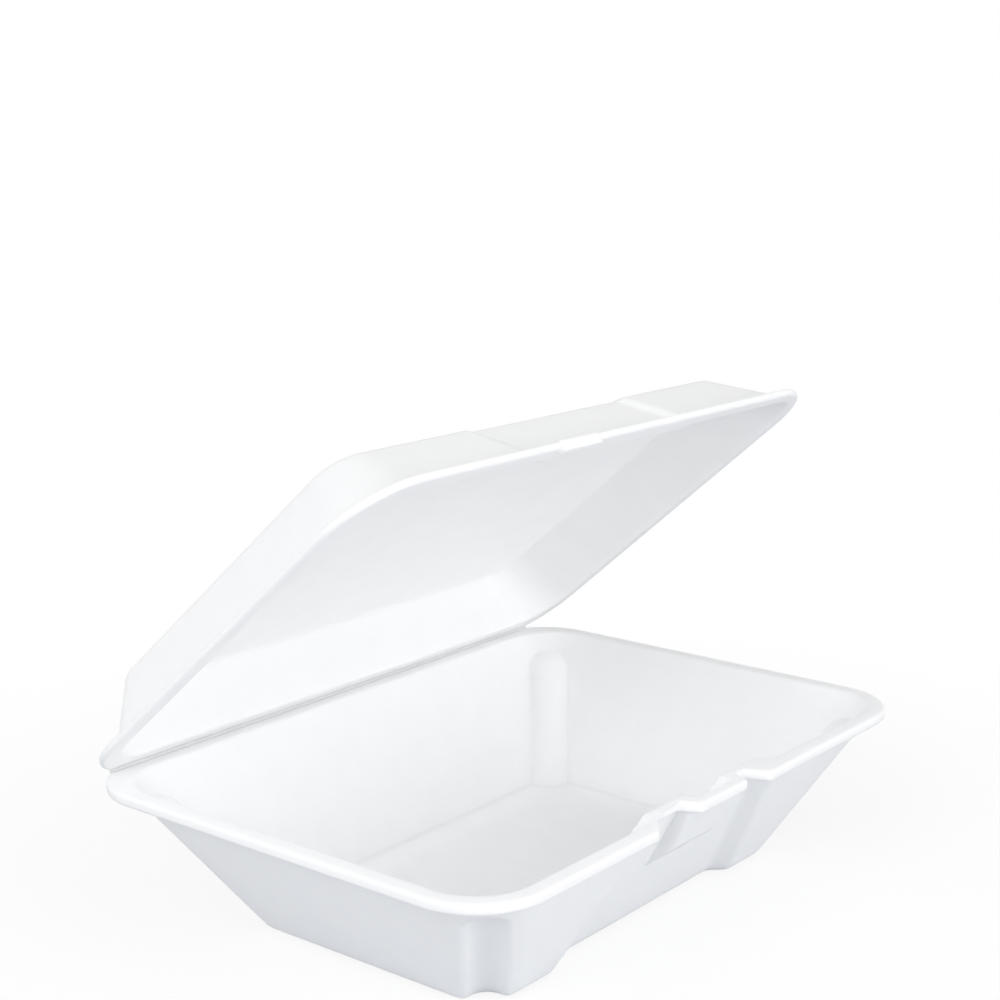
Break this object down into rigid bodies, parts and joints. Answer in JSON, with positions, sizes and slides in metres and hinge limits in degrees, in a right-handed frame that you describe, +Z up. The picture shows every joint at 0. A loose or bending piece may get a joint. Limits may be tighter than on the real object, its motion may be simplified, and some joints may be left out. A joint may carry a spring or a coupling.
{
  "type": "foam clamshell container",
  "caption": "Rectangular white foam carry-out box with a deep tapered tray, a shallow domed lid on a long hinge, corner ribs and a notched front latch, shown with the lid part open.",
  "frame": {"origin": "on the ground under the middle of the box as it stands with its lid part open", "axes": "+X along the hinge to the right, +Y from the latch at the front towards the hinge, +Z up"},
  "size_m": [0.236, 0.1682, 0.161],
  "materials": {
    "foam": "satin foam skin"
  },
  "bodies": {
    "tray": {"tray": "foam"},
    "lid": {"lid": "foam"}
  },
  "joints": [
    {"name": "lid_hinge", "type": "hinge", "parent": "tray", "child": "lid", "pos_m": [0, 0.07915, 0.05115], "axis": [-1, 0, 0], "range_deg": [-41, 139]}
  ]
}
